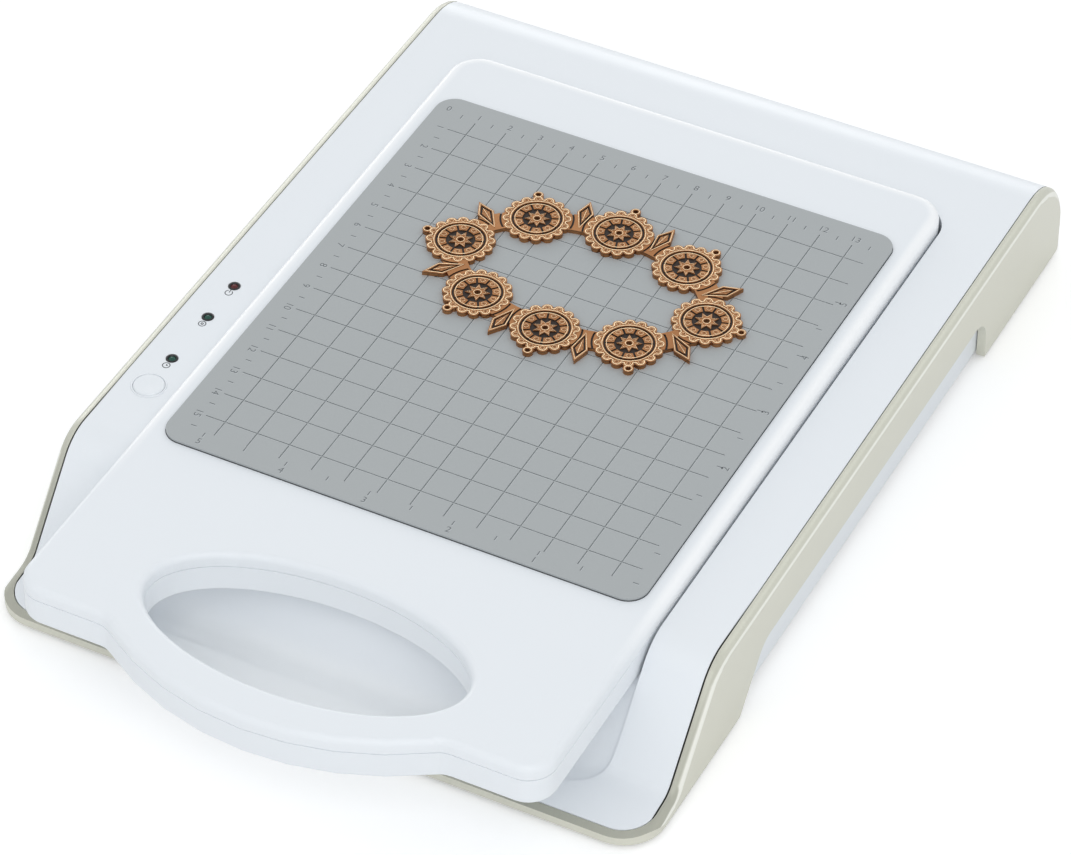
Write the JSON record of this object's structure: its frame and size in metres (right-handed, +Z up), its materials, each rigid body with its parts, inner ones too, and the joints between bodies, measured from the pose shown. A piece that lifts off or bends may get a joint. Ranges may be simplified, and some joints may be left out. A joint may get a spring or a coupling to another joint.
{
  "type": "hot foil stamping machine",
  "caption": "Low electric press bed with a removable heated platform, a bowed pull handle, a gridded mat and a loose metal foil die.",
  "frame": {"origin": "on the table, under the centre of the whole machine", "axes": "+X to the right, +Y to the rear away from the handle, +Z up"},
  "size_m": [0.198, 0.3098, 0.0395],
  "materials": {
    "white_plastic": "satin",
    "champagne_plastic": "satin",
    "foot_rubber": "matte",
    "steel": "satin",
    "circuit_board": "satin",
    "black_plastic": "satin",
    "red_lens": "gloss",
    "green_lens": "gloss",
    "coil_varnish": "satin",
    "blue_plastic": "satin",
    "bare_aluminium": "satin",
    "heater_film": "gloss",
    "insulation_felt": "matte",
    "contact_brass": "satin",
    "mat_silicone": "matte",
    "copper": "satin"
  },
  "bodies": {
    "base": {"top_cover": "white_plastic", "side_surround": "champagne_plastic", "bottom_plate": "white_plastic", "rubber_feet": "foot_rubber", "base_screws": "steel", "control_board": "circuit_board", "button_switch": "black_plastic", "led_bezels": "black_plastic", "power_lamp": "red_lens", "ready_lamp": "green_lens", "timer_lamp": "green_lens", "power_board": "circuit_board", "transformer": "coil_varnish", "relay": "blue_plastic", "fuse": "steel", "power_inlet": "black_plastic", "inlet_pins": "steel", "switch_body": "black_plastic", "contact_block": "black_plastic", "contact_pins": "steel"},
    "platform": {"platform_top": "white_plastic", "platform_bottom": "white_plastic", "hot_plate": "bare_aluminium", "heating_element": "heater_film", "insulation_pad": "insulation_felt", "thermal_fuse": "steel", "temperature_sensor": "black_plastic", "platform_socket": "black_plastic", "socket_sleeves": "contact_brass", "platform_screws": "steel", "grid_mat": "mat_silicone"},
    "timer_button": {"timer_button": "white_plastic", "switch_plunger": "black_plastic"},
    "power_rocker": {"power_rocker": "black_plastic"},
    "foil_die": {"foil_die": "copper"}
  },
  "joints": [
    {"name": "platform_pull", "type": "slide", "parent": "base", "child": "platform", "axis": [0, -1, 0], "range_m": [0, 0.26]},
    {"name": "timer_button_press", "type": "slide", "parent": "base", "child": "timer_button", "axis": [0, 0, -1], "range_m": [0, 0.0008], "stiffness_N_per_m": 200, "springref_m": -0.002},
    {"name": "power_rocker_tip", "type": "hinge", "parent": "base", "child": "power_rocker", "pos_m": [-0.041, 0.1423, 0.01575], "axis": [1, 0, 0], "range_deg": [0, 18]},
    {"name": "die_lift", "type": "slide", "parent": "platform", "child": "foil_die", "axis": [0, 0, 1], "range_m": [0, 0.06]}
  ]
}
